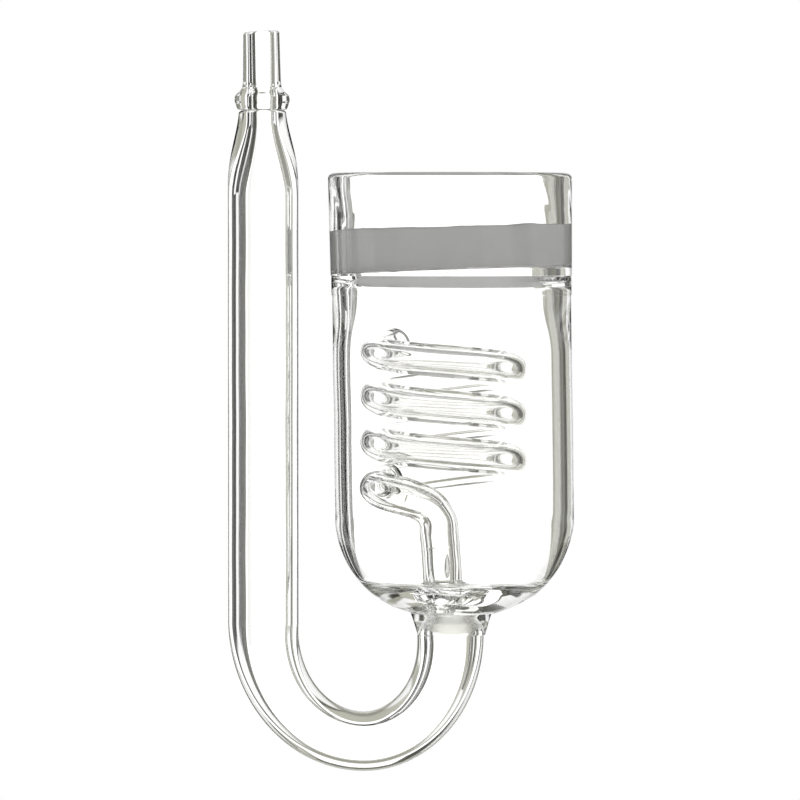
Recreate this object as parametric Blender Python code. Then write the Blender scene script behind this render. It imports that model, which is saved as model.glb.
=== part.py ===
"""Glass CO2 diffuser for an aquarium.

A gas inlet tube bent into a U carries a chamber. A riser and a spiral bubble counter stand inside
the chamber, and a porous ceramic disc, sealed across the outlet ring on top, lets the gas out.

Frame: the stem's axis is Z, up. X points from the stem to the chamber. The origin is on the stem's
axis, halfway up the stem, where the stem is gripped in use. Lengths are in metres.
"""

import math

import bmesh
import bpy
from mathutils import Matrix, Vector

MM = 0.001
GAP = 0.3 * MM  # between two pieces that are fused on the real object

# Hose nozzle and bead
NOZZLE_TIP_Z = 48.2 * MM
NOZZLE_TIP_RADIUS = 2.45 * MM
NOZZLE_FOOT_RADIUS = 2.62 * MM
NOZZLE_BORE = 1.4 * MM
NOZZLE_EDGE = 0.25 * MM
BEAD_TOP_Z = 40.5 * MM
BEAD_BOTTOM_Z = 37.4 * MM
BEAD_RADIUS = 3.72 * MM
BEAD_FOOT_RADIUS = 3.35 * MM

# Stem, U-bend and short arm: one tube, flattened where it is bent
STEM_RADIUS = 4.78 * MM
STEM_BORE = 3.4 * MM
SHOULDER_TOP_RADIUS = 3.15 * MM
SHOULDER_HEIGHT = 9.8 * MM
BEND_START_Z = -32.0 * MM
BEND_LOW_X = 13.65 * MM
BEND_LOW_Z = -48.4 * MM
BEND_DEPTH_RADIUS = 3.85 * MM  # in the plane of the bend, at its lowest point
BEND_WIDTH_RADIUS = 5.0 * MM  # across that plane
BEND_DEPTH_BORE = 2.0 * MM
BEND_WIDTH_BORE = 3.6 * MM
ARM_X = 25.4 * MM
ARM_START_Z = -34.1 * MM
ARM_END_Z = -33.7 * MM
ARM_RADIUS = 4.5 * MM
ARM_BORE = 2.75 * MM

# Neck collar
COLLAR_X = 25.5 * MM
COLLAR_TOP_Z = -30.9 * MM
COLLAR_TOP_RADIUS = 5.5 * MM
COLLAR_FOOT_RADIUS = 4.65 * MM
COLLAR_BORE = 2.6 * MM

# Chamber
CHAMBER_X = 25.8 * MM
CHAMBER_RADIUS = 16.2 * MM
CHAMBER_INNER_RADIUS = 14.87 * MM
CHAMBER_TOP_Z = 12.2 * MM
SHOULDER_Z = -18.6 * MM
FLOOR_Z = -26.7 * MM
FLOOR_RADIUS = 11.3 * MM
BASE_FOOT_RADIUS = 5.6 * MM

# Riser and spiral
COIL_X = 24.45 * MM
COIL_RADIUS = 9.0 * MM
COIL_TURNS = 3
COIL_TOP_Z = 5.05 * MM
COIL_PITCH = 6.2 * MM
COIL_TILT = math.radians(1.2)
COIL_TUBE_RADIUS = 2.3 * MM
COIL_BORE = 1.15 * MM
COIL_TIP_ANGLE = math.radians(44)
COIL_TIP_RISE = 0.5 * MM
END_ANGLE = GAP / 2 / COIL_RADIUS  # what half a gap takes off the spiral's foot
RISER_RADIUS = 2.65 * MM
RISER_BORE = 1.45 * MM
RISER_FLARE = 0.7 * MM
RISER_FLARE_HEIGHT = 1.6 * MM

# Seam, outlet ring and disc
SEAM_X = 25.5 * MM
SEAM_TOP_Z = 14.9 * MM
SEAM_RADIUS = 16.25 * MM
SEAM_BULGE_RADIUS = 13.5 * MM
RING_X = 25.4 * MM
RING_TOP_Z = 28.9 * MM
RING_TOP_RADIUS = 16.53 * MM
RING_FOOT_RADIUS = 16.37 * MM
RING_INNER_RADIUS = 14.4 * MM
RING_EDGE = 0.6 * MM
DISC_BOTTOM_Z = 16.0 * MM
DISC_THICKNESS = 5.7 * MM
DISC_RADIUS = RING_INNER_RADIUS - GAP
DISC_TILT = math.radians(1.9)
DISC_EDGE = 0.25 * MM

# Facets round each piece
TUBE_SIDES = 20
COIL_SIDES = 12
NECK_SIDES = 24
WIDE_SIDES = 48
SMOOTH_ANGLE = math.radians(40)


def clear_scene():
    for thing in list(bpy.data.objects):
        bpy.data.objects.remove(thing, do_unlink=True)


def material(name, colour, roughness, transmission):
    made = bpy.data.materials.new(name)
    made.use_nodes = True
    shader = made.node_tree.nodes["Principled BSDF"]
    shader.inputs["Base Color"].default_value = (*colour, 1.0)
    shader.inputs["Roughness"].default_value = roughness
    shader.inputs["Metallic"].default_value = 0.0
    shader.inputs["Transmission Weight"].default_value = transmission
    shader.inputs["IOR"].default_value = 1.47
    return made


def add_object(name, shape, finish):
    """An object made from a bmesh, smooth apart from its sharp edges."""
    mesh = bpy.data.meshes.new(name)
    shape.to_mesh(mesh)
    shape.free()
    mesh.materials.append(finish)
    mesh.shade_smooth()
    mesh.set_sharp_from_angle(angle=SMOOTH_ANGLE)
    made = bpy.data.objects.new(name, mesh)
    bpy.context.scene.collection.objects.link(made)
    return made


def smooth_curve(points, steps, lead=None):
    """A curve through the points, with this many steps between each two of them.

    lead is a point before the first one, which the curve comes from without reaching it.
    """
    points = [Vector(point) for point in points]
    padded = [lead or 2 * points[0] - points[1], *points, 2 * points[-1] - points[-2]]
    curve = []
    for before, start, end, after in zip(padded, padded[1:], padded[2:], padded[3:]):
        for step in range(steps):
            t = step / steps
            linear = (end - before) * t
            square = (2 * before - 5 * start + 4 * end - after) * t**2
            cube = (3 * start - before - 3 * end + after) * t**3
            curve.append((2 * start + linear + square + cube) / 2)
    curve.append(points[-1])
    return curve


def arc(centre, radii, start, end, steps):
    """Points on an ellipse, from one angle to another, in degrees. Both ends are included."""
    points = []
    for step in range(steps + 1):
        angle = math.radians(start + (end - start) * step / steps)
        points.append((centre[0] + radii[0] * math.cos(angle), centre[1] + radii[1] * math.sin(angle)))
    return points


def turned(name, outline, axis_x, sides, finish):
    """A solid turned about the upright line at axis_x from an outline of (radius, z).

    The outline runs down the outside and back up the inside. Where its ends are on the axis they
    become poles, and otherwise it closes on itself round a bore.
    """
    shape = bmesh.new()
    poles = outline[0][0] == 0 and outline[-1][0] == 0
    open_part = outline[1:-1] if poles else outline
    loops = []
    for side in range(sides):
        angle = math.tau * side / sides
        across, deep = math.cos(angle), math.sin(angle)
        loops.append([shape.verts.new((axis_x + r * across, r * deep, z)) for r, z in open_part])
    rows = list(range(len(open_part)))
    row_pairs = list(zip(rows, rows[1:])) if poles else list(zip(rows, rows[1:] + rows[:1]))
    for here, beside in zip(loops, loops[1:] + loops[:1]):
        for upper, lower in row_pairs:
            shape.faces.new((here[upper], here[lower], beside[lower], beside[upper]))
    if poles:
        first = shape.verts.new((axis_x, 0, outline[0][1]))
        last = shape.verts.new((axis_x, 0, outline[-1][1]))
        for here, beside in zip(loops, loops[1:] + loops[:1]):
            shape.faces.new((first, here[0], beside[0]))
            shape.faces.new((last, beside[-1], here[-1]))
    return add_object(name, shape, finish)


def tangents_along(centres):
    """The path's direction at each centre. At the ends it is that of an arc through the last points."""
    chords = [(after - before).normalized() for before, after in zip(centres, centres[1:])]
    inner = [(before + after).normalized() for before, after in zip(chords, chords[1:])]
    first = 2 * inner[0].dot(chords[0]) * chords[0] - inner[0]
    last = 2 * inner[-1].dot(chords[-1]) * chords[-1] - inner[-1]
    return [first, *inner, last]


def frames_along(centres, side):
    """The two directions across the path at each centre, without twist from one to the next."""
    frames = []
    for tangent in tangents_along(centres):
        side = (side - side.dot(tangent) * tangent).normalized()
        frames.append((side, tangent.cross(side)))
    return frames


def tube(name, centres, outer, bore, side, sides, finish):
    """An open-ended tube along the centres, as one solid.

    outer and bore hold, for each centre, the radius along side and the radius across it.
    """
    shape = bmesh.new()
    skins = ([], [])
    for centre, frame, *radii in zip(centres, frames_along(centres, side), outer, bore):
        for skin, (along, across) in zip(skins, radii):
            ring = []
            for step in range(sides):
                angle = math.tau * step / sides
                offset = frame[0] * along * math.cos(angle) + frame[1] * across * math.sin(angle)
                ring.append(shape.verts.new(centre + offset))
            skin.append(ring)
    outside, inside = skins
    for step in range(sides):
        after = (step + 1) % sides
        for near, far in zip(outside, outside[1:]):
            shape.faces.new((near[step], near[after], far[after], far[step]))
        for near, far in zip(inside, inside[1:]):
            shape.faces.new((near[after], near[step], far[step], far[after]))
        first, last = (outside[0], inside[0]), (outside[-1], inside[-1])
        shape.faces.new((first[0][after], first[0][step], first[1][step], first[1][after]))
        shape.faces.new((last[0][step], last[0][after], last[1][after], last[1][step]))
    return add_object(name, shape, finish)


def round_radii(radii):
    return [(radius, radius) for radius in radii]


def blend(start, end, amount):
    return start + (end - start) * amount


def hose_nozzle(finish):
    foot_z = BEAD_TOP_Z + GAP / 2
    outline = [
        (NOZZLE_BORE + NOZZLE_EDGE, NOZZLE_TIP_Z),
        (NOZZLE_TIP_RADIUS - NOZZLE_EDGE, NOZZLE_TIP_Z),
        (NOZZLE_TIP_RADIUS, NOZZLE_TIP_Z - NOZZLE_EDGE),
        (NOZZLE_FOOT_RADIUS, foot_z),
        (NOZZLE_BORE, foot_z),
        (NOZZLE_BORE, NOZZLE_TIP_Z - NOZZLE_EDGE),
    ]
    turned("hose_nozzle", outline, 0, NECK_SIDES, finish)


def nozzle_bead(finish):
    top_z = BEAD_TOP_Z - GAP / 2
    foot_z = BEAD_BOTTOM_Z + GAP / 2
    widest_z = blend(BEAD_BOTTOM_Z, BEAD_TOP_Z, 0.45)
    skin = smooth_curve(
        [
            (NOZZLE_FOOT_RADIUS, top_z),
            (blend(NOZZLE_FOOT_RADIUS, BEAD_RADIUS, 0.55), blend(widest_z, top_z, 0.6)),
            (BEAD_RADIUS, widest_z),
            (BEAD_FOOT_RADIUS, foot_z),
        ],
        3,
    )
    outline = [tuple(point) for point in skin] + [(NOZZLE_BORE, foot_z), (NOZZLE_BORE, top_z)]
    turned("nozzle_bead", outline, 0, NECK_SIDES, finish)


def stem_tube(finish):
    """The shoulder, the straight stem, the U-bend and the short arm."""
    top_z = BEAD_BOTTOM_Z - GAP / 2
    centres, outer, bore = [], [], []
    shoulder_steps = 8
    for step in range(shoulder_steps + 1):
        share = step / shoulder_steps
        swell = math.sin(math.pi / 2 * share) ** 1.5
        centres.append(Vector((0, 0, top_z - SHOULDER_HEIGHT * share)))
        outer.append((blend(SHOULDER_TOP_RADIUS, STEM_RADIUS, swell),) * 2)
        bore.append((blend(NOZZLE_BORE, STEM_BORE, share**2),) * 2)
    bend_steps = 12
    for step in range(bend_steps + 1):
        angle = math.radians(90 * step / bend_steps)
        x = BEND_LOW_X * (1 - math.cos(angle))
        z = BEND_START_Z + (BEND_LOW_Z - BEND_START_Z) * math.sin(angle)
        flat = math.sin(angle)
        centres.append(Vector((x, 0, z)))
        outer.append((blend(STEM_RADIUS, BEND_WIDTH_RADIUS, flat), blend(STEM_RADIUS, BEND_DEPTH_RADIUS, flat)))
        bore.append((blend(STEM_BORE, BEND_WIDTH_BORE, flat), blend(STEM_BORE, BEND_DEPTH_BORE, flat)))
    for step in range(1, bend_steps + 1):
        angle = math.radians(90 * step / bend_steps)
        x = blend(BEND_LOW_X, ARM_X, math.sin(angle))
        z = BEND_LOW_Z + (ARM_START_Z - BEND_LOW_Z) * (1 - math.cos(angle))
        flat = math.cos(angle)
        centres.append(Vector((x, 0, z)))
        outer.append((blend(ARM_RADIUS, BEND_WIDTH_RADIUS, flat), blend(ARM_RADIUS, BEND_DEPTH_RADIUS, flat)))
        bore.append((blend(ARM_BORE, BEND_WIDTH_BORE, flat), blend(ARM_BORE, BEND_DEPTH_BORE, flat)))
    centres.append(Vector((ARM_X, 0, ARM_END_Z - GAP / 2)))
    outer.append((ARM_RADIUS, ARM_RADIUS))
    bore.append((ARM_BORE, ARM_BORE))
    tube("stem_tube", centres, outer, bore, Vector((0, 1, 0)), TUBE_SIDES, finish)


def neck_collar(finish):
    """The thick fused collar between the short arm and the chamber."""
    top_z = COLLAR_TOP_Z
    foot_z = ARM_END_Z + GAP / 2
    outline = [
        (COLLAR_TOP_RADIUS, top_z),
        (blend(COLLAR_FOOT_RADIUS, COLLAR_TOP_RADIUS, 0.45), blend(foot_z, top_z, 0.55)),
        (COLLAR_FOOT_RADIUS, foot_z),
        (COLLAR_BORE, foot_z),
        (COLLAR_BORE, top_z),
    ]
    turned("neck_collar", outline, COLLAR_X, NECK_SIDES, finish)


def chamber(finish):
    """The cup below the disc: a thin wall on a thick base, which is bored under the riser."""
    base_z = COLLAR_TOP_Z + GAP
    inside = smooth_curve(
        [
            (FLOOR_RADIUS, FLOOR_Z),
            (12.7 * MM, -25.2 * MM),
            (14.0 * MM, -22.4 * MM),
            (CHAMBER_INNER_RADIUS, SHOULDER_Z),
        ],
        2,
    )
    outside = smooth_curve(
        [
            (CHAMBER_RADIUS, SHOULDER_Z),
            (15.45 * MM, -21.9 * MM),
            (14.0 * MM, -24.9 * MM),
            (11.65 * MM, -27.7 * MM),
            (BASE_FOOT_RADIUS, base_z),
        ],
        3,
        lead=Vector((CHAMBER_RADIUS, SHOULDER_Z / 2)),
    )
    outline = [
        (0, FLOOR_Z),
        *map(tuple, inside),
        (CHAMBER_INNER_RADIUS, CHAMBER_TOP_Z),
        (CHAMBER_RADIUS, CHAMBER_TOP_Z),
        *map(tuple, outside),
        (0, base_z),
    ]
    cup = turned("chamber", outline, CHAMBER_X, WIDE_SIDES, finish)
    drill = bmesh.new()
    bmesh.ops.create_cone(
        drill,
        cap_ends=True,
        segments=TUBE_SIDES,
        radius1=RISER_BORE,
        radius2=RISER_BORE,
        depth=3 * (FLOOR_Z - base_z),
        matrix=Matrix.Translation((COIL_X, 0, (FLOOR_Z + base_z) / 2)),
    )
    cutter = add_object("base_drill", drill, finish)
    cutter.hide_render = True
    cutter.display_type = "WIRE"
    cut = cup.modifiers.new("bore", "BOOLEAN")
    cut.operation = "DIFFERENCE"
    cut.solver = "EXACT"
    cut.object = cutter


def coil_point(angle):
    """The spiral's centreline. It starts at the left and comes forward as it goes down."""
    across = -COIL_RADIUS * math.cos(angle)
    deep = -COIL_RADIUS * math.sin(angle)
    down = COIL_PITCH * angle / math.tau
    lean = across * math.sin(COIL_TILT)
    return Vector((COIL_X + across, deep, COIL_TOP_Z - down + lean + COIL_RADIUS * math.sin(COIL_TILT)))


def spiral_coil(finish):
    """Three turns of thin tube, the bubble counter, with its open tip at the top."""
    steps_per_turn = 18
    tip_steps = 4
    centres = []
    for step in range(tip_steps, 0, -1):
        share = step / tip_steps
        lifted = coil_point(-COIL_TIP_ANGLE * share)
        lifted.z += COIL_TIP_RISE * share**2
        centres.append(lifted)
    for step in range(COIL_TURNS * steps_per_turn):
        centres.append(coil_point(math.tau * step / steps_per_turn))
    centres.append(coil_point(math.tau * COIL_TURNS - END_ANGLE))
    outer = round_radii([COIL_TUBE_RADIUS] * len(centres))
    bore = round_radii([COIL_BORE] * len(centres))
    tube("spiral_coil", centres, outer, bore, Vector((0, 0, 1)), COIL_SIDES, finish)


def riser_tube(finish):
    """The wider tube from the base's bore to the foot of the spiral, with a flared foot."""
    foot_z = FLOOR_Z + GAP
    spiral_end = math.tau * COIL_TURNS
    lead_in = [
        coil_point(spiral_end + END_ANGLE),
        coil_point(spiral_end + 0.2),
        Vector((COIL_X - 7.5 * MM, -3.4 * MM, -14.2 * MM)),
        Vector((COIL_X - 4.6 * MM, -4.1 * MM, -15.0 * MM)),
        Vector((COIL_X - 2.3 * MM, -2.4 * MM, -16.2 * MM)),
        Vector((COIL_X - 0.9 * MM, -0.8 * MM, -18.2 * MM)),
        Vector((COIL_X - 0.4 * MM, 0, -20.8 * MM)),
    ]
    centres = smooth_curve(lead_in, 3, lead=coil_point(spiral_end - 0.2))
    straight_z = foot_z + RISER_FLARE_HEIGHT
    outer = []
    for index in range(len(centres)):
        swell = min(1, index / 6)
        outer.append(blend(COIL_TUBE_RADIUS, RISER_RADIUS, swell))
    flare_steps = 4
    for step in range(flare_steps + 1):
        share = step / flare_steps
        centres.append(Vector((COIL_X, 0, straight_z - RISER_FLARE_HEIGHT * share)))
        outer.append(RISER_RADIUS + RISER_FLARE * share**3)
    bore = [min(RISER_BORE, radius - (COIL_TUBE_RADIUS - COIL_BORE)) for radius in outer]
    tube(
        "riser_tube", centres, round_radii(outer), round_radii(bore), Vector((0, 0, 1)), COIL_SIDES + 4, finish
    )


def seam_weld(finish):
    """Where the chamber and the outlet ring were melted together, bulging into the bore."""
    foot_z = CHAMBER_TOP_Z + GAP
    half = (SEAM_TOP_Z - foot_z) / 2
    middle_z = foot_z + half
    bulge = arc((CHAMBER_INNER_RADIUS, middle_z), (CHAMBER_INNER_RADIUS - SEAM_BULGE_RADIUS, half), 270, 90, 8)
    outline = [(SEAM_RADIUS, SEAM_TOP_Z), (SEAM_RADIUS, foot_z), *bulge]
    turned("seam_weld", outline, SEAM_X, WIDE_SIDES, finish)


def outlet_ring(finish):
    """The heavy ring that holds the disc. Its rim is rounded by the flame, with a flat land."""
    foot_z = SEAM_TOP_Z + GAP
    round_z = RING_TOP_Z - RING_EDGE
    outside = arc((RING_TOP_RADIUS - RING_EDGE, round_z), (RING_EDGE, RING_EDGE), 90, 0, 3)
    inside = arc((RING_INNER_RADIUS + RING_EDGE, round_z), (RING_EDGE, RING_EDGE), 180, 90, 3)
    outline = [*outside, (RING_FOOT_RADIUS, foot_z), (RING_INNER_RADIUS, foot_z), *inside]
    turned("outlet_ring", outline, RING_X, WIDE_SIDES, finish)


def ceramic_disc(finish):
    """The porous disc, sealed across the ring a little out of level."""
    low_z, high_z = -DISC_THICKNESS / 2, DISC_THICKNESS / 2
    outline = [
        (0, high_z),
        (DISC_RADIUS - DISC_EDGE, high_z),
        (DISC_RADIUS, high_z - DISC_EDGE),
        (DISC_RADIUS, low_z + DISC_EDGE),
        (DISC_RADIUS - DISC_EDGE, low_z),
        (0, low_z),
    ]
    disc = turned("ceramic_disc", outline, 0, WIDE_SIDES, finish)
    disc.location = (RING_X, 0, DISC_BOTTOM_Z + DISC_THICKNESS / 2)
    disc.rotation_euler = (0, -DISC_TILT, 0)


def main():
    clear_scene()
    clear_glass = material("clear_glass", (0.97, 0.98, 0.96), 0.0, 1.0)
    milky_glass = material("milky_glass", (0.9, 0.9, 0.86), 0.3, 0.85)
    sintered = material("sintered_ceramic", (0.6, 0.6, 0.57), 0.9, 0.0)
    hose_nozzle(clear_glass)
    nozzle_bead(clear_glass)
    stem_tube(clear_glass)
    neck_collar(milky_glass)
    chamber(clear_glass)
    riser_tube(clear_glass)
    spiral_coil(clear_glass)
    seam_weld(clear_glass)
    outlet_ring(clear_glass)
    ceramic_disc(sintered)


main()
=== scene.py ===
"""Looks of the glass CO2 diffuser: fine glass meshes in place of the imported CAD, on a bright field.

Each CAD piece is replaced by a finer one in the same place, with flame-rounded rims, fused joints a
hair apart and the small lumps of hand-worked glass. Lengths are in metres, in the CAD's frame: the
stem's axis is Z, and X points to the chamber.
"""

import math

import bpy
import numpy as np
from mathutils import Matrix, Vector


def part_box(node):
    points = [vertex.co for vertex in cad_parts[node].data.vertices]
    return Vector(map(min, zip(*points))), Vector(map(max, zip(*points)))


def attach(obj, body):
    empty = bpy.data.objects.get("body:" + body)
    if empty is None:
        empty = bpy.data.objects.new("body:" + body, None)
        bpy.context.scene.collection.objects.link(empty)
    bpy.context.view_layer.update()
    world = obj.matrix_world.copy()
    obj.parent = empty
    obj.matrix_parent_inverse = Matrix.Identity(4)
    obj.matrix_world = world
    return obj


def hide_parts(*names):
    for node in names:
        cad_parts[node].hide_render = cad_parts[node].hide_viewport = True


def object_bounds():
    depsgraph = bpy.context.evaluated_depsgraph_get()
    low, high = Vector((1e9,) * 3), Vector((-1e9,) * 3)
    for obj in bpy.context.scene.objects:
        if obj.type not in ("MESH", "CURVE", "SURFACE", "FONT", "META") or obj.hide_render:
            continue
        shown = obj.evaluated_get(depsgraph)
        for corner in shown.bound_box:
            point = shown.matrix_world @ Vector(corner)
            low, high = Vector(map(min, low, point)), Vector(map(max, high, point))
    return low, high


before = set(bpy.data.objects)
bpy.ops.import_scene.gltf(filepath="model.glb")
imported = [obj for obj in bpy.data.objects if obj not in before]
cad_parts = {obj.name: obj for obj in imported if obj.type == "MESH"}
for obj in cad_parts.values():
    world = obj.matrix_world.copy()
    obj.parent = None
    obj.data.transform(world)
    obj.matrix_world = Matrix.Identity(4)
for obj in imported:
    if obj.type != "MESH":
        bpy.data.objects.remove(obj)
CAD_LOW, CAD_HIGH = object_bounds()

MM = 0.001
BODY = "root"
JOINT = 0.02 * MM  # how far two fused pieces stand apart
CAD_HALF_GAP = 0.15 * MM  # half of how far they stand apart in the CAD


def blend(start, end, amount):
    return start + (end - start) * amount


def ease(value, start, end):
    """0 before start, 1 after end, and smooth between them."""
    share = np.clip((value - start) / (end - start), 0, 1)
    return share * share * (3 - 2 * share)


# ---------------------------------------------------------------- places, from the CAD


def middle(node):
    low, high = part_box(node)
    return (low + high) / 2


def half_width(node):
    low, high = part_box(node)
    return (high.x - low.x) / 2


def bottom(node):
    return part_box(node)[0].z


def top(node):
    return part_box(node)[1].z


def between(lower, upper):
    """The height of the joint of two neighbours."""
    return (top(lower) + bottom(upper)) / 2


NOZZLE_TIP_Z = top("hose_nozzle")
BEAD_TOP_Z = between("nozzle_bead", "hose_nozzle")
BEAD_FOOT_Z = between("stem_tube", "nozzle_bead")
BEAD_RADIUS = half_width("nozzle_bead")
NOZZLE_FOOT_RADIUS = half_width("hose_nozzle")
COLLAR_X = middle("neck_collar").x
COLLAR_RADIUS = half_width("neck_collar")
COLLAR_FOOT_Z = bottom("neck_collar") - CAD_HALF_GAP
BASE_Z = between("neck_collar", "chamber")
CHAMBER_X = middle("chamber").x
CHAMBER_RADIUS = half_width("chamber")
CHAMBER_TOP_Z = between("chamber", "seam_weld")
SEAM_X = middle("seam_weld").x
SEAM_RADIUS = half_width("seam_weld")
SEAM_TOP_Z = between("seam_weld", "outlet_ring")
RING_X = middle("outlet_ring").x
RING_RADIUS = half_width("outlet_ring")
RING_TOP_Z = top("outlet_ring")
RISER_FOOT_Z = bottom("riser_tube") - CAD_HALF_GAP
DISC_MIDDLE = middle("ceramic_disc")
DISC_HALF = 2.85 * MM
DISC_TILT = math.tan(math.radians(1.9))
COIL_MIDDLE_X = middle("spiral_coil").x
VESSEL_FOOT_X = 25.9 * MM
VESSEL_LEAN = 0.0145  # how far it leans for each unit of height
LEAN_X, LEAN_Z = 25.92 * MM, -14.05 * MM  # a point on the vessel's leaning axis
NECK_LEAN, NECK_LEAN_Z = 0.0124, 30 * MM  # the same for the neck, from this height up


def vessel_axis(height):
    """Where the vessel's axis is at this height: above its round foot it leans to the left."""
    leaning = LEAN_X - VESSEL_LEAN * (height - LEAN_Z)
    return blend(VESSEL_FOOT_X, leaning, ease(height, -22 * MM, -16 * MM))


def neck_lean(height):
    """How far the drawn neck leans to the left at this height."""
    return -NECK_LEAN * np.maximum(height - NECK_LEAN_Z, 0)


# ---------------------------------------------------------------- shapes


def smooth_curve(points, steps, lead=None):
    """A curve through the points, with this many steps between each two. lead bends its start."""
    points = [np.array(point, float) for point in points]
    lead = 2 * points[0] - points[1] if lead is None else np.array(lead, float)
    padded = [lead, *points, 2 * points[-1] - points[-2]]
    curve = []
    for before, start, end, after in zip(padded, padded[1:], padded[2:], padded[3:]):
        for t in np.linspace(0, 1, steps, endpoint=False):
            linear = (end - before) * t
            square = (2 * before - 5 * start + 4 * end - after) * t**2
            cube = (3 * start - before - 3 * end + after) * t**3
            curve.append((2 * start + linear + square + cube) / 2)
    curve.append(points[-1])
    return curve


def arc(centre, radii, start, end, steps):
    """Points on an ellipse from one angle to another, in degrees, both ends included."""
    (x, z), (wide, high) = centre, radii
    angles = np.radians(np.linspace(start, end, steps + 1))
    return [(x + wide * math.cos(angle), z + high * math.sin(angle)) for angle in angles]


def straight(start, end, steps):
    """Points from start up to, but not including, end."""
    start, end = np.array(start, float), np.array(end, float)
    return [start + (end - start) * t for t in np.linspace(0, 1, steps, endpoint=False)]


def wave(angle, height, seed):
    """A smooth unevenness round a turned piece, from about -1 to 1."""
    total = 0
    for turn in range(1, 6):
        phase = 2.4 * turn * seed
        climb = (0.7 + 0.3 * turn) * height / MM * 0.35
        total = total + np.sin(turn * angle + phase + climb) / turn
    return total / 2


def make_piece(name, points, faces, finishes, face_finish=None):
    """A mesh piece that rides on the body, smooth apart from its sharp edges."""
    mesh = bpy.data.meshes.new(name)
    mesh.from_pydata(points.tolist(), [], faces)
    for finish in finishes:
        mesh.materials.append(finish)
    if face_finish is not None:
        mesh.polygons.foreach_set("material_index", face_finish)
    mesh.shade_smooth()
    mesh.set_sharp_from_angle(angle=math.radians(35))
    piece = bpy.data.objects.new(name, mesh)
    bpy.context.scene.collection.objects.link(piece)
    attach(piece, BODY)
    return piece


def grid_faces(rows, columns, closed_rows):
    """Quads between rows of points that each close on themselves."""
    faces = []
    row_pairs = [(row, row + 1) for row in range(rows - 1)]
    if closed_rows:
        row_pairs.append((rows - 1, 0))
    for upper, lower in row_pairs:
        for column in range(columns):
            after = (column + 1) % columns
            faces.append(
                (
                    upper * columns + column,
                    lower * columns + column,
                    lower * columns + after,
                    upper * columns + after,
                )
            )
    return faces


def turned(name, outline, axis_x, sides, finishes, warp, finish_of=None):
    """A piece turned about the upright line at axis_x from an outline of (radius, z).

    The outline runs down the outside and up the inside. Where its ends lie on the axis they become
    poles. warp takes the radius, angle and height of the points and gives back their radius, height
    and shift along X; it leaves out the poles. finish_of tells which finish a row of faces has.
    """
    outline = np.array(outline, float)
    poles = outline[0, 0] == 0 and outline[-1, 0] == 0
    skin = outline[1:-1] if poles else outline
    angle = np.linspace(0, math.tau, sides, endpoint=False)[None, :]
    radius = np.repeat(skin[:, :1], sides, axis=1)
    height = np.repeat(skin[:, 1:], sides, axis=1)
    angle = np.repeat(angle, len(skin), axis=0)
    radius, height, shift = warp(radius, angle, height)
    along = axis_x + shift + radius * np.cos(angle)
    points = np.stack([along, radius * np.sin(angle), height], axis=-1).reshape(-1, 3)
    faces = grid_faces(len(skin), sides, not poles)
    if poles:
        first, last = len(points), len(points) + 1
        points = np.vstack([points, [axis_x, 0, outline[0, 1]], [axis_x, 0, outline[-1, 1]]])
        low_row = (len(skin) - 1) * sides
        for column in range(sides):
            after = (column + 1) % sides
            faces.append((first, column, after))
            faces.append((last, low_row + after, low_row + column))
    face_finish = finish_of and [finish_of(face // sides) for face in range(len(faces))]
    return make_piece(name, points, faces, finishes, face_finish)


def tangents_along(centres):
    """The path's direction at each centre, and at its ends that of an arc through the last ones."""
    chords = np.diff(centres, axis=0)
    chords /= np.linalg.norm(chords, axis=1)[:, None]
    inner = chords[:-1] + chords[1:]
    inner /= np.linalg.norm(inner, axis=1)[:, None]
    first = 2 * (inner[0] @ chords[0]) * chords[0] - inner[0]
    last = 2 * (inner[-1] @ chords[-1]) * chords[-1] - inner[-1]
    return np.vstack([first, inner, last])


def tube(name, centres, side, sides, outer, bore, finishes, bubble=None, bore_shift=None):
    """An open-ended tube along the centres, as one closed skin.

    outer and bore hold for each centre the radius along side and the radius across it, and
    bore_shift how far the bore lies off the middle, across side. bubble is a closed skin inside the
    wall, as points and faces that look into the bubble.
    """
    centres = np.array(centres, float)
    outer, bore = np.array(outer, float), np.array(bore, float)
    angle = np.linspace(0, math.tau, sides, endpoint=False)
    side = np.array(side, float)
    skins = ([], [])
    no_shift = np.zeros(len(centres))
    shifts = (no_shift, no_shift if bore_shift is None else bore_shift)
    for index, tangent in enumerate(tangents_along(centres)):
        side = side - (side @ tangent) * tangent
        side /= np.linalg.norm(side)
        across = np.cross(tangent, side)
        for skin, radii, shift in zip(skins, (outer, bore), shifts):
            ring = np.outer(np.cos(angle) * radii[index, 0], side)
            ring += np.outer(np.sin(angle) * radii[index, 1], across)
            skin.append(centres[index] + shift[index] * across + ring)
    # Down the outside and back up the bore, as one ring of rows.
    rows = skins[0] + skins[1][::-1]
    points = np.vstack(rows)
    faces = [face[::-1] for face in grid_faces(len(rows), sides, True)]
    if bubble is not None:
        bubble_points, bubble_faces = bubble
        faces += [tuple(corner + len(points) for corner in face) for face in bubble_faces]
        points = np.vstack([points, bubble_points])
    return make_piece(name, points, faces, finishes)


def pairs(radii):
    """The radii of a round tube, which are the same along its side and across it."""
    return [(radius, radius) for radius in radii]


def rounded_start(centres, outer, bore, rounding, steps=6):
    """Rounds the first end of a tube, given by its centres and its two lists of radii."""
    direction = centres[1] - centres[0]
    direction /= np.linalg.norm(direction)
    new_centres, new_outer, new_bore = [], [], []
    for step in range(steps):
        angle = math.radians(90 * step / steps)
        rounded_off = rounding * (1 - math.sin(angle))
        new_centres.append(centres[0] - direction * rounding * math.cos(angle))
        new_outer.append(outer[0] - rounded_off)
        new_bore.append(bore[0] + rounded_off)
    return new_centres + list(centres), new_outer + list(outer), new_bore + list(bore)


# ---------------------------------------------------------------- finishes


GLASS_INDEX = 1.474  # borosilicate glass
RELIEF = 0.05 * MM  # how high the finishes' bumps are


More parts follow.
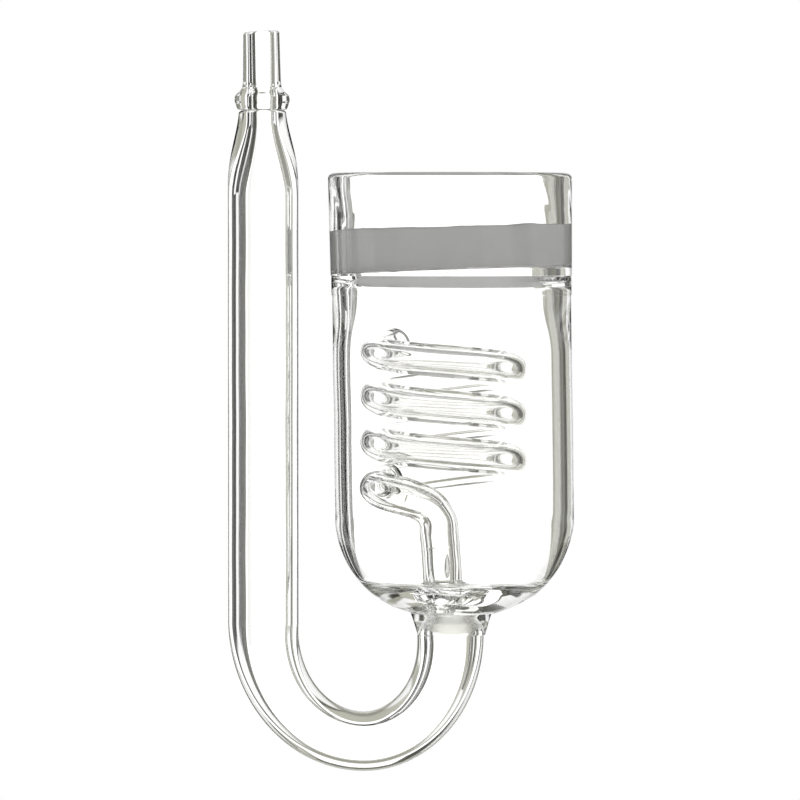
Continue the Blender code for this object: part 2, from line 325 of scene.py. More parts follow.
def grey(level):
    return (level, level, level, 1)


def new_material(name):
    made = bpy.data.materials.new(name)
    made.use_nodes = True
    return made, made.node_tree.nodes, made.node_tree.links


def math_node(nodes, links, operation, first, second=None):
    node = nodes.new("ShaderNodeMath")
    node.operation = operation
    for socket, value in zip(node.inputs, (first, second)):
        if isinstance(value, (int, float)):
            socket.default_value = value
        elif value is not None:
            links.new(value, socket)
    return node.outputs["Value"]


def step_node(nodes, links, value, start, end):
    """0 where value is below start, 1 above end."""
    node = nodes.new("ShaderNodeMapRange")
    node.inputs["From Min"].default_value = start
    node.inputs["From Max"].default_value = end
    links.new(value, node.inputs["Value"])
    return node.outputs["Result"]


def mix_node(nodes, links, share, first, second):
    node = nodes.new("ShaderNodeMix")
    node.data_type = "RGBA"
    links.new(share, node.inputs["Factor"])
    for socket, value in zip((node.inputs[6], node.inputs[7]), (first, second)):
        if isinstance(value, tuple):
            socket.default_value = value
        else:
            links.new(value, socket)
    return node.outputs[2]


def add_noise(nodes, links, scale, detail):
    place = nodes.new("ShaderNodeTexCoord")
    noise = nodes.new("ShaderNodeTexNoise")
    noise.inputs["Scale"].default_value = scale
    noise.inputs["Detail"].default_value = detail
    links.new(place.outputs["Object"], noise.inputs["Vector"])
    return noise


def add_bump(nodes, links, noise, strength, shader):
    bump = nodes.new("ShaderNodeBump")
    bump.inputs["Strength"].default_value = strength
    bump.inputs["Distance"].default_value = RELIEF
    links.new(noise.outputs["Fac"], bump.inputs["Height"])
    links.new(bump.outputs["Normal"], shader.inputs["Normal"])


def glass(name, colour, low_rough, high_rough, bump=0):
    """Glass whose roughness, and with bump its surface too, varies a little from place to place."""
    made, nodes, links = new_material(name)
    shader = nodes["Principled BSDF"]
    shader.inputs["Base Color"].default_value = (*colour, 1)
    shader.inputs["Transmission Weight"].default_value = 1
    shader.inputs["IOR"].default_value = GLASS_INDEX
    noise = add_noise(nodes, links, 260, 2)
    spread = nodes.new("ShaderNodeMapRange")
    spread.inputs["To Min"].default_value = low_rough
    spread.inputs["To Max"].default_value = high_rough
    links.new(noise.outputs["Fac"], spread.inputs["Value"])
    links.new(spread.outputs["Result"], shader.inputs["Roughness"])
    if bump:
        add_bump(nodes, links, noise, bump, shader)
    return made


def sintered(name):
    """Fine-pored ceramic: a grey that varies a little, with a grain, and painted light that makes its
    underside near white, as if lit from the table below.
    """
    made, nodes, links = new_material(name)
    shader = nodes["Principled BSDF"]
    shader.inputs["Roughness"].default_value = 0.95
    cloud = add_noise(nodes, links, 400, 6)
    grain = add_noise(nodes, links, 6000, 3)
    tone = nodes.new("ShaderNodeValToRGB")
    darker, lighter = (0.66, 0.66, 0.65, 1), (0.74, 0.74, 0.73, 1)
    for stop, colour in zip(tone.color_ramp.elements, (darker, lighter)):
        stop.color = colour
    links.new(cloud.outputs["Fac"], tone.inputs["Fac"])
    facing = nodes.new("ShaderNodeSeparateXYZ")
    links.new(nodes.new("ShaderNodeNewGeometry").outputs["Normal"], facing.inputs["Vector"])
    # Painted light: the faces that look down are painted near white, as if lit from the table below.
    painted_underside_light = step_node(nodes, links, facing.outputs["Z"], -0.3, -0.8)
    colour = mix_node(nodes, links, painted_underside_light, tone.outputs["Color"], grey(0.97))
    links.new(colour, shader.inputs["Base Color"])
    add_bump(nodes, links, grain, 0.5, shader)
    return made


CLEAR = glass("clear_glass", (1.0, 1.0, 0.995), low_rough=0, high_rough=0.004)
FROSTED = glass("fused_glass", (0.9, 0.9, 0.84), low_rough=0.35, high_rough=0.55, bump=0.6)
CERAMIC = sintered("sintered_ceramic")


# ---------------------------------------------------------------- inlet


NOZZLE_BORE = 1.4 * MM
BEAD_BORE = 1.5 * MM
NOZZLE_FLARE_RADIUS = NOZZLE_FOOT_RADIUS + 0.06 * MM  # where the nozzle is fused to the bead


def hose_nozzle():
    """The drawn tube for the hose. Its tip is cut a little out of square."""
    foot_z = BEAD_TOP_Z + JOINT / 2
    rounding = 0.4 * MM
    tip_radius = 2.44 * MM
    round_z = NOZZLE_TIP_Z - rounding
    flare_start = (NOZZLE_FOOT_RADIUS - 0.05 * MM, foot_z + 0.8 * MM)
    outline = [
        *arc((tip_radius - rounding, round_z), (rounding, rounding), 90, 0, 8),
        *straight((tip_radius, round_z - 0.1 * MM), flare_start, 12),
        *smooth_curve(
            [flare_start, (NOZZLE_FOOT_RADIUS, foot_z + 0.3 * MM), (NOZZLE_FLARE_RADIUS, foot_z)], 3
        ),
        *straight((NOZZLE_BORE, foot_z), (NOZZLE_BORE, round_z), 16),
        *arc((NOZZLE_BORE + rounding, round_z), (rounding, rounding), 180, 90, 8),
    ]

    def warp(radius, angle, height):
        cut = ease(height, NOZZLE_TIP_Z - 2 * MM, NOZZLE_TIP_Z)
        slant = cut * (radius * np.cos(angle) - tip_radius) * 0.06
        return radius * (1 + 0.006 * wave(angle, height, 1)), height + slant, neck_lean(height)

    piece = turned("hose_nozzle_glass", outline, 0, 96, [CLEAR], warp)
    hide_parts("hose_nozzle")


def nozzle_bead():
    """The bead that stops the hose, with a crease under it."""
    top_z = BEAD_TOP_Z - JOINT / 2
    foot_z = BEAD_FOOT_Z + JOINT / 2
    skin = smooth_curve(
        [
            (NOZZLE_FLARE_RADIUS, top_z),
            (blend(NOZZLE_FOOT_RADIUS, BEAD_RADIUS, 0.32), top_z - 0.45 * MM),
            (BEAD_RADIUS - 0.12 * MM, top_z - 1.1 * MM),
            (BEAD_RADIUS, top_z - 1.75 * MM),
            (BEAD_RADIUS - 0.15 * MM, top_z - 2.3 * MM),
            (BEAD_RADIUS - 0.4 * MM, foot_z + 0.14 * MM),
            (BEAD_RADIUS - 0.9 * MM, foot_z),
        ],
        6,
    )
    outline = [
        *skin,
        (BEAD_BORE, foot_z),
        *straight((BEAD_BORE, foot_z + 0.1 * MM), (NOZZLE_BORE, top_z), 8),
        (NOZZLE_BORE, top_z),
    ]

    def warp(radius, angle, height):
        return radius * (1 + 0.008 * wave(angle, height, 2)), height, neck_lean(height)

    piece = turned("nozzle_bead_glass", outline, 0, 96, [CLEAR], warp)
    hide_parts("nozzle_bead")


def stem_tube():
    """Shoulder, stem, U-bend and short arm. The bend is thinner, with its bore off the middle."""
    top_z, top_radius, top_bore = BEAD_FOOT_Z - JOINT / 2, 3.18 * MM, 1.45 * MM
    notch_depth, notch_height = 0.35 * MM, 0.3 * MM
    shoulder_height = 9.9 * MM
    stem_radius, stem_bore = 4.78 * MM, 3.38 * MM
    bend_z = -32.2 * MM
    # The bend's lowest section, with its radii in Y and in the bend's plane
    low_x, low_z = 13.65 * MM, -48.2 * MM
    low_radii, low_bores, low_shift = (3.8 * MM, 4.05 * MM), (1.45 * MM, 2.11 * MM), -0.24 * MM
    arm_x, arm_start_z, arm_z = 25.4 * MM, -34.2 * MM, COLLAR_FOOT_Z - JOINT / 2
    arm_radius, arm_bore = 4.5 * MM, 2.85 * MM
    centres, outer, bore, bore_shift = [], [], [], []

    def add(x, z, radius, hole, bent=0):
        """Adds a section. bent is how much of the lowest section's shape it has."""
        centres.append((x, 0, z))
        outer.append([blend(radius, low, bent) for low in low_radii])
        bore.append([blend(hole, low, bent) for low in low_bores])
        bore_shift.append(bent * low_shift)

    def stem_hole(z):
        """The stem's bore, which opens out a little below where the outside does."""
        uneven = 0.006 * math.sin(z / MM * 0.21) + 0.004 * math.sin(z / MM * 0.53 + 1)
        return blend(top_bore, stem_bore, ease(top_z - z, 1.2 * MM, 11.5 * MM)) * (1 + uneven)

    for share in [0, 0.006, 0.012, 0.02, *np.linspace(0.03, 1, 39, endpoint=False)]:
        z = top_z - shoulder_height * share
        radius = blend(top_radius, stem_radius, math.sin(math.pi / 2 * share) ** 1.5)
        radius -= notch_depth * max(0, 1 - (top_z - z) / notch_height) ** 2
        add(neck_lean(z), z, radius, stem_hole(z))
    for z in np.linspace(top_z - shoulder_height, bend_z, 60, endpoint=False):
        add(0, z, stem_radius, stem_hole(z))
    quarter = np.radians(np.linspace(0, 90, 80, endpoint=False))
    for angle in quarter:
        z = bend_z + (low_z - bend_z) * math.sin(angle)
        add(low_x * (1 - math.cos(angle)), z, stem_radius, stem_bore, math.sin(angle))
    for angle in quarter:
        z = low_z + (arm_start_z - low_z) * (1 - math.cos(angle))
        add(blend(low_x, arm_x, math.sin(angle)), z, arm_radius, arm_bore, math.cos(angle))
    for z in (arm_start_z, arm_z):
        add(arm_x, z, arm_radius, arm_bore)
    piece = tube(
        "stem_tube_glass", centres, (0, 1, 0), 96, outer, bore, [CLEAR], bore_shift=bore_shift
    )
    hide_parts("stem_tube")


def neck_collar():
    """Clear cone with a milky, bowed bore, where the arm and the base were melted together."""
    top_z, foot_z = BASE_Z - JOINT / 2, COLLAR_FOOT_Z + JOINT / 2
    outside = smooth_curve(
        [
            (COLLAR_RADIUS, top_z),
            (5.2 * MM, blend(foot_z, top_z, 0.7)),
            (4.85 * MM, blend(foot_z, top_z, 0.3)),
            (4.6 * MM, foot_z),
        ],
        6,
    )
    clear_foot = [
        (2.85 * MM, foot_z),
        (2.95 * MM, foot_z + 0.12 * MM),
        (2.95 * MM, foot_z + 0.3 * MM),
    ]
    milky_z = foot_z + 0.45 * MM
    inside = smooth_curve(
        [(2.9 * MM, milky_z), (2.8 * MM, blend(milky_z, top_z, 0.5)), (2.35 * MM, top_z)], 8
    )
    outline = [*outside, *clear_foot, *inside]
    clear_rows = len(outside) + len(clear_foot)

    def warp(radius, angle, height):
        in_bore = radius < 3 * MM
        milky = in_bore * ease(height, foot_z, milky_z) * (1 - ease(height, milky_z, top_z))
        bowed = milky * (0.7 * np.cos(angle) ** 2 + 0.12 * wave(2 * angle, 0, 3)) * MM
        return radius * (1 + 0.012 * wave(angle, height, 3)), height + bowed, 0

    def finish_of(row):
        return 1 if clear_rows <= row < len(outline) - 1 else 0

    piece = turned("neck_collar_glass", outline, COLLAR_X, 96, [CLEAR, FROSTED], warp, finish_of)
    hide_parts("neck_collar")


# ---------------------------------------------------------------- chamber


CHAMBER_BORE = 14.58 * MM
SEAM_DRAW = 0.65 * MM  # how much narrower the bore is at the seam
SEAM_DRAW_HEIGHT = 9 * MM  # over which height it narrows


def chamber():
    """The cup: a thin wall, and a thick base with a lumpy hollow where the gas comes in."""
    floor_z, floor_radius = RISER_FOOT_Z - JOINT / 2, 10.9 * MM
    shoulder_z = -18.6 * MM
    wall_z = shoulder_z + 7 * MM
    top_z = CHAMBER_TOP_Z - JOINT / 2
    drawn_z = top_z - SEAM_DRAW_HEIGHT
    foot_z = BASE_Z + JOINT / 2
    outside = smooth_curve(
        [
            (CHAMBER_RADIUS, shoulder_z),
            (15.45 * MM, -21.9 * MM),
            (14.0 * MM, -24.9 * MM),
            (11.65 * MM, -27.7 * MM),
            (8.7 * MM, -29.6 * MM),
            (5.7 * MM, foot_z),
        ],
        10,
        lead=(CHAMBER_RADIUS, shoulder_z + 4 * MM),
    )
    hollow = smooth_curve(
        [
            (2.4 * MM, foot_z),
            (3.6 * MM, -30.0 * MM),
            (3.3 * MM, -29.0 * MM),
            (1.9 * MM, -28.2 * MM),
            (1.45 * MM, -27.5 * MM),
            (1.45 * MM, floor_z),
        ],
        7,
    )
    inside = smooth_curve(
        [
            (floor_radius, floor_z),
            (11.9 * MM, -26.2 * MM),
            (12.8 * MM, -24.9 * MM),
            (13.85 * MM, -22.2 * MM),
            (CHAMBER_BORE - 0.12 * MM, shoulder_z),
            (CHAMBER_BORE, shoulder_z + 4 * MM),
            (CHAMBER_BORE, wall_z),
        ],
        10,
        lead=(9 * MM, floor_z),
    )
    outline = [
        (CHAMBER_RADIUS, top_z),
        *straight((CHAMBER_RADIUS, top_z - 0.2 * MM), (CHAMBER_RADIUS, shoulder_z), 40),
        *outside,
        *hollow,
        *straight((2.0 * MM, floor_z), (floor_radius, floor_z), 16),
        *inside[:-1],
        *straight((CHAMBER_BORE, wall_z), (CHAMBER_BORE, drawn_z), 20),
        *straight((CHAMBER_BORE, drawn_z), (CHAMBER_BORE, top_z), 24),
        (CHAMBER_BORE, top_z),
    ]

    def warp(radius, angle, height):
        low = 1 - ease(height, -24 * MM, -18 * MM)
        inward = 1 - ease(radius, 5 * MM, 11 * MM)
        in_hollow = 1 - ease(radius, 3.8 * MM, 4.6 * MM)
        in_hollow = in_hollow * (1 - ease(height, -28.2 * MM, -27.4 * MM))
        lumps = wave(3 * angle, 3 * height, 5) + 0.6 * wave(7 * angle, 2 * height, 9)
        in_bore = radius < CHAMBER_BORE + 0.1 * MM
        drawn_in = in_bore * SEAM_DRAW * ease(height, drawn_z, top_z) ** 1.5
        uneven = 1 + 0.002 * wave(angle, height, 4)
        radius = radius * uneven + 0.16 * MM * in_hollow * lumps - drawn_in
        sag = ease(radius, 2 * MM, 5 * MM) * (1 - ease(radius, 9 * MM, 11.5 * MM)) * low
        on_floor = 1 - ease(np.abs(height - floor_z), 0.1 * MM, 0.5 * MM)
        height = height - on_floor * sag * (0.25 * MM + 0.1 * MM * wave(2 * angle, radius, 6))
        to_riser = inward * ease(height, foot_z, floor_z) * (height < floor_z + 1 * MM)
        axis = blend(vessel_axis(height), COIL_MIDDLE_X, to_riser)
        return radius, height, axis - CHAMBER_X

    piece = turned("chamber_glass", outline, CHAMBER_X, 216, [CLEAR], warp)
    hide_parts("chamber")


COIL_X = 24.45 * MM
COIL_RADIUS = 9.0 * MM
COIL_TURNS = 3
COIL_TOP_Z = 5.05 * MM
COIL_PITCH = 6.2 * MM
COIL_LEAN = math.sin(math.radians(1.2))
COIL_TUBE_RADIUS, COIL_BORE = 2.3 * MM, 1.15 * MM
RISER_RADIUS, RISER_BORE = 2.65 * MM, 1.45 * MM
SPIRAL_END = math.tau * COIL_TURNS
FUSED_ANGLE = SPIRAL_END - 0.6  # where the riser's tube is fused on, at the back


def coil_point(angle):
    """The spiral's centreline. It starts at the left and comes forward as it goes down."""
    across = -COIL_RADIUS * math.cos(angle)
    z = COIL_TOP_Z - COIL_PITCH * angle / math.tau + (across + COIL_RADIUS) * COIL_LEAN
    return np.array([COIL_X + across, -COIL_RADIUS * math.sin(angle), z])


def spiral_coil():
    """Three turns of thin tube with an open, flame-rounded tip."""
    centres = []
    tip_angle, tip_rise = math.radians(44), 0.9 * MM
    for share in np.linspace(1, 0, 16, endpoint=False):
        lifted = coil_point(-tip_angle * share)
        lifted[2] += tip_rise * share**2
        centres.append(lifted)
    end_angle = FUSED_ANGLE - JOINT / 2 / COIL_RADIUS
    for angle in np.linspace(0, end_angle, 64 * COIL_TURNS):
        centres.append(coil_point(angle))
    outer = [COIL_TUBE_RADIUS] * len(centres)
    bore = [COIL_BORE] * len(centres)
    centres, outer, bore = rounded_start(centres, outer, bore, 0.45 * MM)
    piece = tube("spiral_coil_glass", centres, (0, 0, 1), 40, pairs(outer), pairs(bore), [CLEAR])
    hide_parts("spiral_coil")


def teardrop(centre, width, height):
    """A closed bubble with a pointed top, as points and faces that look into it."""
    rows, columns = 10, 16
    points, angle = [], np.linspace(0, math.tau, columns, endpoint=False)
    for polar in np.linspace(0, math.pi, rows + 2)[1:-1]:
        radius = width * math.sin(polar) * (1 - 0.35 * math.cos(polar))
        level = np.full(columns, height * math.cos(polar))
        row = np.stack([radius * np.cos(angle), radius * np.sin(angle), level], axis=-1)
        points.append(row + centre)
    points = np.vstack(points)
    faces = [face[::-1] for face in grid_faces(rows, columns, False)]
    first, last = len(points), len(points) + 1
    low_row = (rows - 1) * columns
    for column in range(columns):
        after = (column + 1) % columns
        faces.append((first, after, column))
        faces.append((last, low_row + column, low_row + after))
    ends = np.array(centre) + np.array([[0, 0, height], [0, 0, -height]])
    return np.vstack([points, ends]), faces


def riser_tube():
    """The wider tube on the base, bent over into the spiral's foot, with a bubble in its wall."""
    first_angle = FUSED_ANGLE + JOINT / 2 / COIL_RADIUS
    upright_x, upright_z = COIL_X - 0.4 * MM, -20.8 * MM
    lead_in = [coil_point(angle) for angle in np.linspace(first_angle, SPIRAL_END + 0.2, 6)]
    lead_in += [
        (COIL_X - 7.5 * MM, -3.4 * MM, -14.2 * MM),
        (COIL_X - 4.6 * MM, -4.1 * MM, -15.0 * MM),
        (COIL_X - 2.3 * MM, -2.4 * MM, -16.2 * MM),
        (COIL_X - 0.9 * MM, -0.8 * MM, -18.2 * MM),
        (upright_x, 0, upright_z),
    ]
    steps = 12
    centres = smooth_curve(lead_in, steps, lead=coil_point(2 * first_angle - SPIRAL_END))
    outer = [
        blend(COIL_TUBE_RADIUS, RISER_RADIUS, ease(index, 4 * steps, 7 * steps))
        for index in range(len(centres))
    ]
    foot_z = RISER_FOOT_Z + JOINT / 2
    flare_height, flare = 1.6 * MM, 0.9 * MM
    for z in np.linspace(upright_z, foot_z, 40)[1:]:
        near_foot = max(0, 1 - (z - foot_z) / flare_height)
        x = blend(COIL_X, upright_x, (z - foot_z) / (upright_z - foot_z))
        centres.append(np.array([x, 0, z]))
        outer.append(RISER_RADIUS + flare * near_foot**3)
    wall = COIL_TUBE_RADIUS - COIL_BORE
    bore = []
    for index, radius in enumerate(outer):
        uneven = 1 + 0.04 * math.sin(index * 0.11) + 0.02 * math.sin(index * 0.23 + 1)
        unsteady = ease(index, 30, 60) * (1 - ease(index, len(outer) - 8, len(outer) - 1))
        bore.append(min(RISER_BORE, radius - wall) * blend(1, uneven, unsteady))
    bubble = teardrop((COIL_X + 0.45 * MM, -2.0 * MM, -23.3 * MM), 0.34 * MM, 1.5 * MM)
    piece = tube(
        "riser_tube_glass", centres, (0, 0, 1), 48, pairs(outer), pairs(bore), [CLEAR], bubble
    )
    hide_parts("riser_tube")


# ---------------------------------------------------------------- outlet


RING_INNER_RADIUS = 14.4 * MM
LEDGE_RADIUS = 13.35 * MM  # the melted seam at its thickest


def melted_ledge(angle):
    """How unevenly the seam's melted glass stands into the bore."""
    return 0.1 * MM * wave(angle, 0, 7) + 0.16 * MM * np.cos(angle)


def seam_weld():
    """The melted seam, which bulges unevenly into the bore."""
    top_z, foot_z = SEAM_TOP_Z - JOINT / 2, CHAMBER_TOP_Z + JOINT / 2
    wall_radius = CHAMBER_BORE - SEAM_DRAW
    inside = smooth_curve(
        [
            (wall_radius, foot_z),
            (wall_radius - 0.02 * MM, foot_z + 0.9 * MM),
            (wall_radius - 0.15 * MM, foot_z + 1.5 * MM),
            (wall_radius - 0.38 * MM, foot_z + 2.2 * MM),
            (LEDGE_RADIUS, top_z),
        ],
        8,
    )
    middle_z = (top_z + foot_z) / 2
    outside = arc((SEAM_RADIUS, middle_z), (0.05 * MM, (top_z - foot_z) / 2), 90, -90, 10)
    outline = [*outside, *inside]

    def warp(radius, angle, height):
        melted = (radius < wall_radius + 0.01 * MM) * ease(height, foot_z + 0.6 * MM, top_z)
        return radius - melted * melted_ledge(angle), height, vessel_axis(height) - SEAM_X

    piece = turned("seam_weld_glass", outline, SEAM_X, 216, [CLEAR], warp)
    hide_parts("seam_weld")


def outlet_ring():
    """The heavy ring, with its flame-rounded rim and the ledge that the disc is seated on."""
    foot_z = SEAM_TOP_Z + JOINT / 2
    foot_radius = 16.37 * MM
    rounding, inner_rounding = (0.9 * MM, 0.7 * MM), (0.5 * MM, 0.4 * MM)
    round_z, inner_round_z = RING_TOP_Z - rounding[1], RING_TOP_Z - inner_rounding[1]
    seat_z = DISC_MIDDLE.z - DISC_HALF
    outline = [
        *arc((RING_RADIUS - rounding[0], round_z), rounding, 90, 0, 12),
        *straight((RING_RADIUS, round_z - 0.2 * MM), (foot_radius, foot_z), 24),
        (foot_radius, foot_z),
        *smooth_curve(
            [
                (LEDGE_RADIUS, foot_z),
                (LEDGE_RADIUS, blend(foot_z, seat_z, 0.5)),
                (LEDGE_RADIUS + 0.04 * MM, seat_z - 0.2 * MM),
                (LEDGE_RADIUS + 0.25 * MM, seat_z),
                (RING_INNER_RADIUS, seat_z + 0.02 * MM),
            ],
            5,
        )[:-1],
        *straight((RING_INNER_RADIUS, seat_z + 0.02 * MM), (RING_INNER_RADIUS, inner_round_z), 30),
        *arc((RING_INNER_RADIUS + inner_rounding[0], inner_round_z), inner_rounding, 180, 90, 8),
    ]

    def warp(radius, angle, height):
        inner = radius < RING_INNER_RADIUS + 0.1 * MM
        uneven = 0.06 * MM * wave(angle, height, 8) + 0.015 * MM * wave(11 * angle, 3 * height, 2)
        ledge = inner * ease(RING_INNER_RADIUS - radius, 0, 0.6 * MM)
        above_disc = ease(height, seat_z + 1 * MM, seat_z + 4 * MM)
        lifted = inner * ease(height, foot_z, seat_z) * (1 - above_disc)
        radius = radius + uneven * (inner - ledge) - ledge * melted_ledge(angle)
        tilted = lifted * radius * np.cos(angle) * DISC_TILT
        return radius, height + tilted, vessel_axis(height) - RING_X

    piece = turned("outlet_ring_glass", outline, RING_X, 216, [CLEAR], warp)
    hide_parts("outlet_ring")


def ceramic_disc():
    """The porous disc, fused into the ring's wall a little out of level, with uneven edges."""
    disc_radius = RING_INNER_RADIUS + 0.09 * MM
    half, edge = DISC_HALF, 0.3 * MM
    outline = [
        (0, half),
        *straight((1 * MM, half), (disc_radius - edge, half), 30),
        *arc((disc_radius - edge, half - edge), (edge, edge), 90, 0, 5),
        *straight((disc_radius, half - 1.3 * edge), (disc_radius, edge * 1.3 - half), 10),
        *arc((disc_radius - edge, edge - half), (edge, edge), 0, -90, 5),
        *straight((disc_radius - edge * 1.3, -half), (1 * MM, -half), 30),
        (0, -half),
    ]

    def warp(radius, angle, height):
        rim = ease(radius, 9 * MM, 14 * MM)
        uneven = 0.12 * MM * rim * (wave(2 * angle, height, 10) + 0.5 * wave(9 * angle, height, 3))
        height = DISC_MIDDLE.z + height + radius * np.cos(angle) * DISC_TILT + uneven
        return radius, height, vessel_axis(height) - RING_X

    piece = turned("ceramic_disc_fine", outline, RING_X, 180, [CERAMIC], warp)
    for pole in piece.data.vertices[-2:]:  # which the warp leaves out
        pole.co.z += DISC_MIDDLE.z
    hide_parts("ceramic_disc")


# ---------------------------------------------------------------- studio


WHITE, SIDE, DARK = 1.4, 1.05, 0.035
# What surrounds the glass, in three bands of height, as (degrees to the left of +Y, brightness). It
# is white behind the object wherever it is looked at from, with grey and dark cards between.
LEVEL_CARDS = [
    (-180, 0.45), (-152, 0.45), (-148, WHITE), (-122, WHITE), (-118, DARK), (-100, DARK),
    (-96, SIDE), (-46, SIDE), (-42, DARK), (-13, DARK), (-10, WHITE), (8, WHITE), (11, DARK),
    (47, DARK), (51, SIDE), (66, SIDE), (69, DARK), (78, DARK), (81, WHITE), (100, WHITE),
    (103, DARK), (124, DARK), (130, 0.45), (180, 0.45),
]
MIDDLE_CARDS = [
    (-180, 0.45), (-152, 0.45), (-148, WHITE), (-122, WHITE), (-118, 0.2), (-102, 0.2),
    (-98, 0.6), (-56, 0.6), (-50, 0.4), (-36, 0.4), (-32, SIDE), (-27, SIDE), (-24, 0.1),
    (-14, 0.1), (-10, WHITE), (8, WHITE), (11, DARK), (26, DARK), (31, SIDE), (96, SIDE),
    (100, 0.4), (180, 0.4),
]
LOW_CARDS = [
    (-180, 0.4), (-152, 0.4), (-148, WHITE), (-122, WHITE), (-118, 0.15), (-102, 0.15),
    (-98, SIDE), (-42, SIDE), (-34, 0.5), (24, 0.5), (28, 0.12), (31, 0.12), (35, SIDE),
    (96, SIDE), (100, 0.4), (180, 0.4),
]
# How many degrees up each band takes over from the one below it, as (start, end)
MIDDLE_BAND, LEVEL_BAND = (-25, -21), (-14, -10)
OVERHEAD_BAND, OVERHEAD = (46, 52), 0.07
UNDERNEATH_BAND, UNDERNEATH = (-46, -56), 0.3
TABLE_BAND = (-4, 4)  # where the light on the ceramic changes to what comes from above
# Upright cards behind and beside the object: a wide white one with a greyer one at either end, a
# narrow light one close behind the stem, light and dark ones at the neck's height and a grey one
# beside the chamber. Each is (x and y of one edge, of the other, foot, top, brightness), in mm.
CARDS = [
    ((-49, 193), (90, 193), -165, 170, WHITE),
    ((90, 193), (147, 193), -165, 170, 0.5),
    ((-64, 193), (-49, 193), -165, 170, 0.14),
    ((-9.4, 35), (-6.4, 35), -40, 40, SIDE),
    ((-60, 54), (-60, 86), 33, 70, SIDE),
    ((-60, 8), (-60, 52), 34, 70, 0.05),
    ((60, 8), (60, 70), 34, 70, 0.28),
    ((60, 72), (60, 82), 33, 70, SIDE),
    ((62, 2), (62, 24), -60, 32, 0.2),
]
WARMTH = 0.86  # the share of blue that the grey and dark cards have
GLOSS_SHARE = 0.45  # how much of the surroundings' light the outer surfaces mirror
DISC_LIGHT, DISC_LIGHT_BELOW = 0.6, 1.3  # the light on the ceramic, brighter from the table below


def card_colour(level):
    """White is neutral, and what is darker is a little warmer."""
    return (level, level, level * (1 if level > 1 else WARMTH), 1)


def card_ramp(nodes, links, turn, cards):
    ramp = nodes.new("ShaderNodeValToRGB")
    stops = ramp.color_ramp.elements
    while len(stops) < len(cards):
        stops.new(1)
    for stop, (degrees, level) in zip(stops, cards):
        stop.position = (degrees + 180) / 360
        stop.color = card_colour(level)
    links.new(turn, ramp.inputs["Fac"])
    return ramp.outputs["Color"]


def rise_step(nodes, links, rise, band):
    """0 below the band and 1 above it, or the other way round if its first height is the upper."""
    return step_node(nodes, links, rise, *(math.radians(degrees) for degrees in band))


def hide_from(piece, *kinds):
    for kind in kinds:
        setattr(piece, f"visible_{kind}", False)


def from_ceramic(nodes, links, path):
    """1 for light that reached the matt disc, 0 for the rest."""
    return step_node(nodes, links, path.outputs["Diffuse Depth"], 0.4, 0.6)


def upright_card(index, near, far, foot, top, level):
    """One upright card. Only refracted light sees it."""
    mesh = bpy.data.meshes.new("upright_card")
    corners = [(*near, foot), (*far, foot), (*far, top), (*near, top)]
    mesh.from_pydata([Vector(corner) * MM for corner in corners], [], [(0, 1, 2, 3)])
    made = bpy.data.objects.new(f"upright_card_{index}", mesh)
    bpy.context.scene.collection.objects.link(made)
    material, nodes, links = new_material("upright_card")
    glow = nodes.new("ShaderNodeEmission")
    path = nodes.new("ShaderNodeLightPath")
    reached_disc = from_ceramic(nodes, links, path)
    lit = mix_node(nodes, links, reached_disc, card_colour(level), grey(DISC_LIGHT))
    links.new(lit, glow.inputs["Color"])
    links.new(glow.outputs["Emission"], nodes["Material Output"].inputs["Surface"])
    mesh.materials.append(material)
    hide_from(made, "camera", "diffuse", "glossy", "shadow")


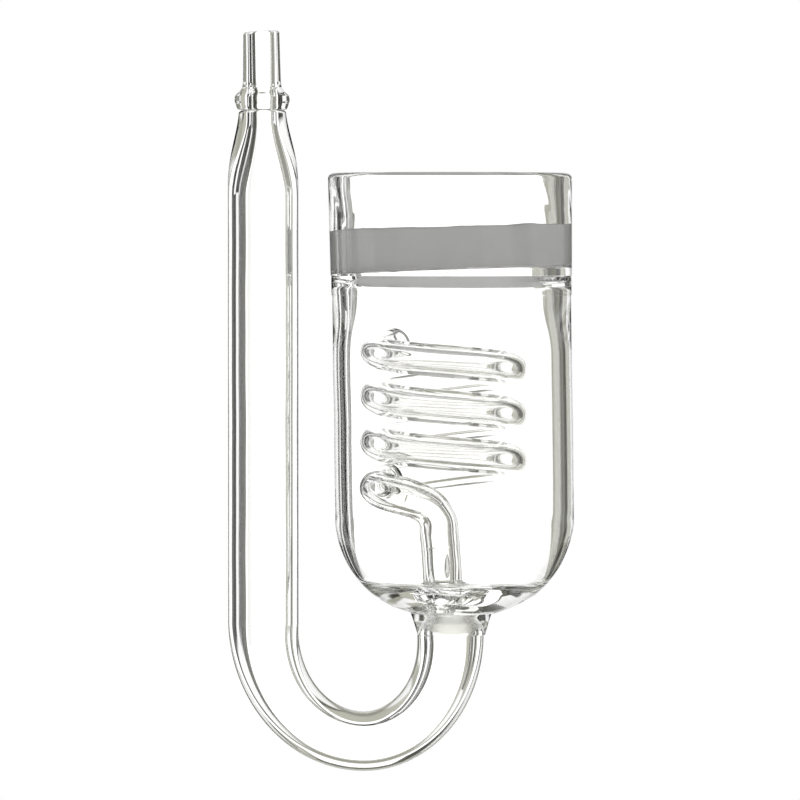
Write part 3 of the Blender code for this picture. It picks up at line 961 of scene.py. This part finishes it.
def surroundings():
    """A bright field: bands of white and dark cards all round, dark overhead and grey below."""
    world = bpy.data.worlds.new("studio")
    bpy.context.scene.world = world
    world.use_nodes = True
    nodes, links = world.node_tree.nodes, world.node_tree.links
    direction = nodes.new("ShaderNodeTexCoord").outputs["Generated"]
    parts = nodes.new("ShaderNodeSeparateXYZ")
    links.new(direction, parts.inputs["Vector"])
    left = math_node(nodes, links, "MULTIPLY", parts.outputs["X"], -1)
    turn = math_node(nodes, links, "ARCTAN2", left, parts.outputs["Y"])
    turn = math_node(nodes, links, "DIVIDE", turn, math.tau)
    turn = math_node(nodes, links, "ADD", turn, 0.5)
    rise = math_node(nodes, links, "ARCSINE", parts.outputs["Z"])
    seen = card_ramp(nodes, links, turn, LOW_CARDS)
    for band, cards in ((MIDDLE_BAND, MIDDLE_CARDS), (LEVEL_BAND, LEVEL_CARDS)):
        above = rise_step(nodes, links, rise, band)
        seen = mix_node(nodes, links, above, seen, card_ramp(nodes, links, turn, cards))
    for band, level in ((OVERHEAD_BAND, OVERHEAD), (UNDERNEATH_BAND, UNDERNEATH)):
        beyond = rise_step(nodes, links, rise, band)
        seen = mix_node(nodes, links, beyond, seen, card_colour(level))
    path = nodes.new("ShaderNodeLightPath")
    above_table = rise_step(nodes, links, rise, TABLE_BAND)
    on_disc = mix_node(nodes, links, above_table, grey(DISC_LIGHT_BELOW), grey(DISC_LIGHT))
    seen = mix_node(nodes, links, from_ceramic(nodes, links, path), seen, on_disc)
    seen = mix_node(nodes, links, path.outputs["Is Camera Ray"], seen, grey(1))
    # A refracted ray counts as glossy too, so mirrored ones are those that are glossy only.
    glossy, refracted = path.outputs["Is Glossy Ray"], path.outputs["Is Transmission Ray"]
    mirrored = math_node(nodes, links, "SUBTRACT", glossy, refracted)
    strength = step_node(nodes, links, mirrored, 0, 1)
    strength.node.inputs["To Min"].default_value = 1
    strength.node.inputs["To Max"].default_value = GLOSS_SHARE
    links.new(seen, nodes["Background"].inputs["Color"])
    links.new(strength, nodes["Background"].inputs["Strength"])
    world.cycles.sampling_method = "NONE"


def floor():
    """A plain white floor under the object, which only the camera sees."""
    bpy.ops.mesh.primitive_circle_add(vertices=96, radius=3, fill_type="NGON")
    made = bpy.context.object
    made.name = "floor"
    made.location = (CHAMBER_X, 0, CAD_LOW.z - 0.5 * MM)
    material, nodes, links = new_material("floor_white")
    glow = nodes.new("ShaderNodeEmission")
    links.new(glow.outputs["Emission"], nodes["Material Output"].inputs["Surface"])
    made.data.materials.append(material)
    hide_from(made, "transmission", "glossy", "diffuse", "shadow")


def camera():
    """A little above the object's middle and far off, looking slightly down."""
    data = bpy.data.cameras.new("camera")
    data.sensor_width = 36
    data.lens = 270
    data.clip_start = 0.01
    made = bpy.data.objects.new("camera", data)
    bpy.context.scene.collection.objects.link(made)
    aim = Vector((18.55, 0, -1.85)) * MM
    rise, back = 22.5 * MM, 813.3 * MM
    made.location = aim + Vector((0, -back, rise))
    made.rotation_euler = (math.radians(90) - math.atan2(rise, back), 0, 0)
    bpy.context.scene.camera = made


def light_paths():
    """Enough bounces for a coil in a chamber, and no tone curve over the white."""
    scene = bpy.context.scene
    scene.cycles.max_bounces = 40
    scene.cycles.transmission_bounces = 40
    scene.cycles.glossy_bounces = 24
    scene.view_settings.view_transform = "Standard"


# ---------------------------------------------------------------- the whole scene


camera()
surroundings()
for index, card in enumerate(CARDS):
    upright_card(index, *card)
floor()
light_paths()
hose_nozzle()
nozzle_bead()
stem_tube()
neck_collar()
chamber()
spiral_coil()
riser_tube()
seam_weld()
outlet_ring()
ceramic_disc()
